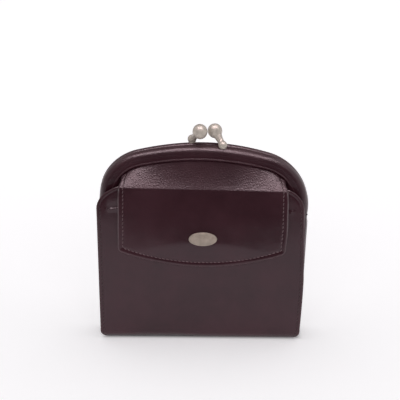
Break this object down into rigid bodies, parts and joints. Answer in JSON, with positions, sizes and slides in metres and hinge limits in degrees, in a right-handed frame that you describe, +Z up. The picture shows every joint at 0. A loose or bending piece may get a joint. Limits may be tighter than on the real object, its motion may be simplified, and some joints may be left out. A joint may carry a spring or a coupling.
{
  "type": "leather frame purse",
  "caption": "Small leather purse with a domed ball-clasp frame, a coin compartment, a front leaf and a snap flap, standing on its folded bottom.",
  "frame": {"origin": "middle of the underside, on the surface that the purse stands on", "axes": "+X to the right as the flap is seen from the front, +Y from the flap to the back panel, +Z up"},
  "size_m": [0.1022, 0.0249, 0.1067],
  "materials": {
    "leather": "polished smooth dark red-brown leather",
    "inner_leather": "plain matt dark red-brown leather",
    "nickel": "satin nickel"
  },
  "bodies": {
    "root": {"cover": "leather", "leaf_lining": "inner_leather", "coin_wall": "leather", "gusset_left": "inner_leather", "gusset_right": "inner_leather", "front_bow": "leather", "back_bow": "leather", "hinge_pin_left": "nickel", "hinge_pin_right": "nickel", "front_knob": "nickel", "back_knob": "nickel", "flap": "leather", "press_stud": "nickel", "ornament": "nickel"}
  },
  "joints": []
}
